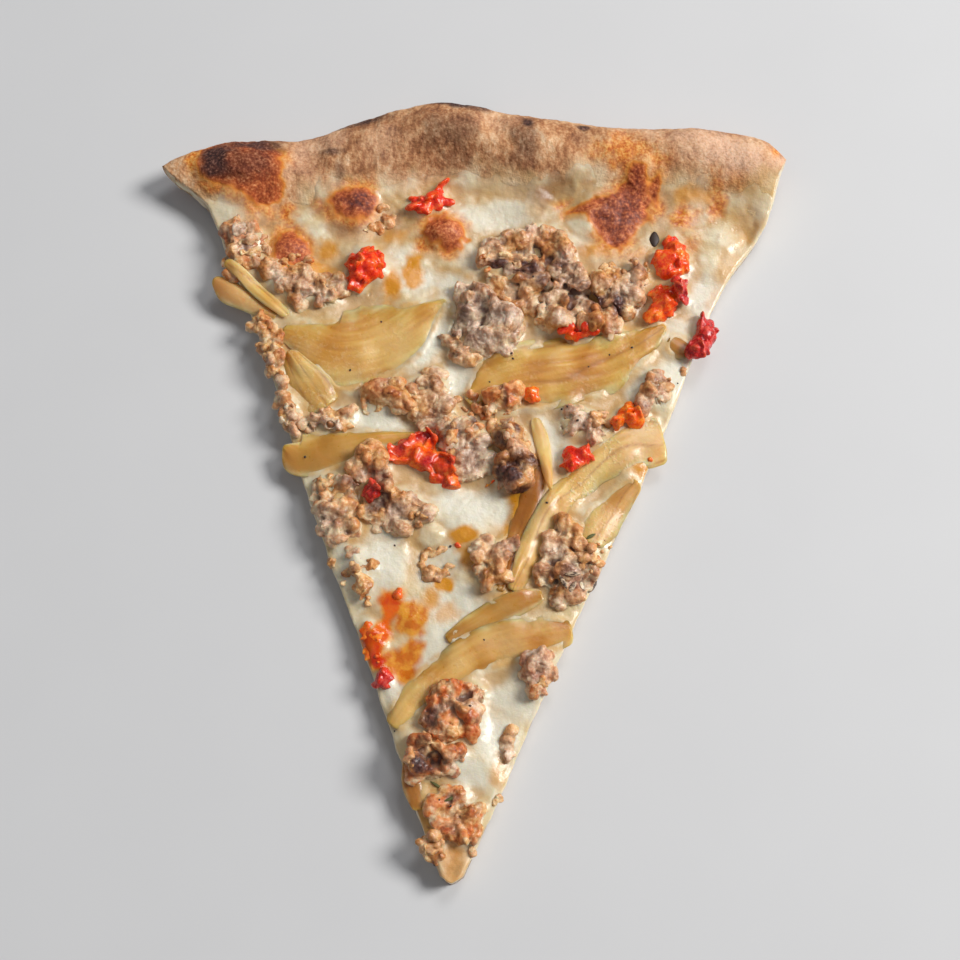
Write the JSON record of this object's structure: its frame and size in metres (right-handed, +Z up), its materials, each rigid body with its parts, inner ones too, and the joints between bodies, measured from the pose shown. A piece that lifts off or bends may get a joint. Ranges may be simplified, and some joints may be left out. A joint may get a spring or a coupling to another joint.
{
  "type": "white pizza slice",
  "caption": "Triangular slice of thin white pizza with a puffy browned crust, melted cheese, crumbled sausage, soft onion strips and red chili pieces.",
  "frame": {"origin": "centre of the slice's box at the surface it lies on", "axes": "+Y from the point of the slice to its crust, +X to the right seen from above with the crust at the far side, +Z up"},
  "size_m": [0.1892, 0.2322, 0.017],
  "materials": {
    "crust": "matt baked dough, floury tan with dark brown blisters and a pale crumb at the cuts",
    "cheese": "melted white cheese, soft satin, cream to pale gold",
    "sausage": "crumbled cooked pork sausage, moist grey-brown with browned edges",
    "onion": "soft cooked onion, translucent amber, glossy",
    "pepper": "oily chopped red chili, wet gloss"
  },
  "bodies": {
    "root": {"cheese": "cheese", "dough": "crust", "onion_01": "onion", "onion_02": "onion", "onion_03": "onion", "onion_04": "onion", "onion_05": "onion", "onion_06": "onion", "onion_07": "onion", "onion_08": "onion", "onion_09": "onion", "onion_10": "onion", "onion_11": "onion", "onion_12": "onion", "onion_13": "onion", "onion_14": "onion", "pepper_01": "pepper", "pepper_02": "pepper", "pepper_03": "pepper", "pepper_04": "pepper", "pepper_05": "pepper", "pepper_06": "pepper", "pepper_07": "pepper", "pepper_08": "pepper", "pepper_09": "pepper", "pepper_10": "pepper", "pepper_11": "pepper", "pepper_12": "pepper", "pepper_13": "pepper", "pepper_14": "pepper", "sausage_01": "sausage", "sausage_02": "sausage", "sausage_03": "sausage", "sausage_04": "sausage", "sausage_05": "sausage", "sausage_06": "sausage", "sausage_07": "sausage", "sausage_08": "sausage", "sausage_09": "sausage", "sausage_10": "sausage", "sausage_11": "sausage", "sausage_12": "sausage", "sausage_13": "sausage", "sausage_14": "sausage", "sausage_15": "sausage", "sausage_16": "sausage", "sausage_17": "sausage", "sausage_18": "sausage", "sausage_19": "sausage", "sausage_20": "sausage", "sausage_21": "sausage", "sausage_22": "sausage", "sausage_23": "sausage", "sausage_24": "sausage", "sausage_25": "sausage", "sausage_26": "sausage", "sausage_27": "sausage", "sausage_28": "sausage", "sausage_29": "sausage", "sausage_30": "sausage"}
  },
  "joints": []
}
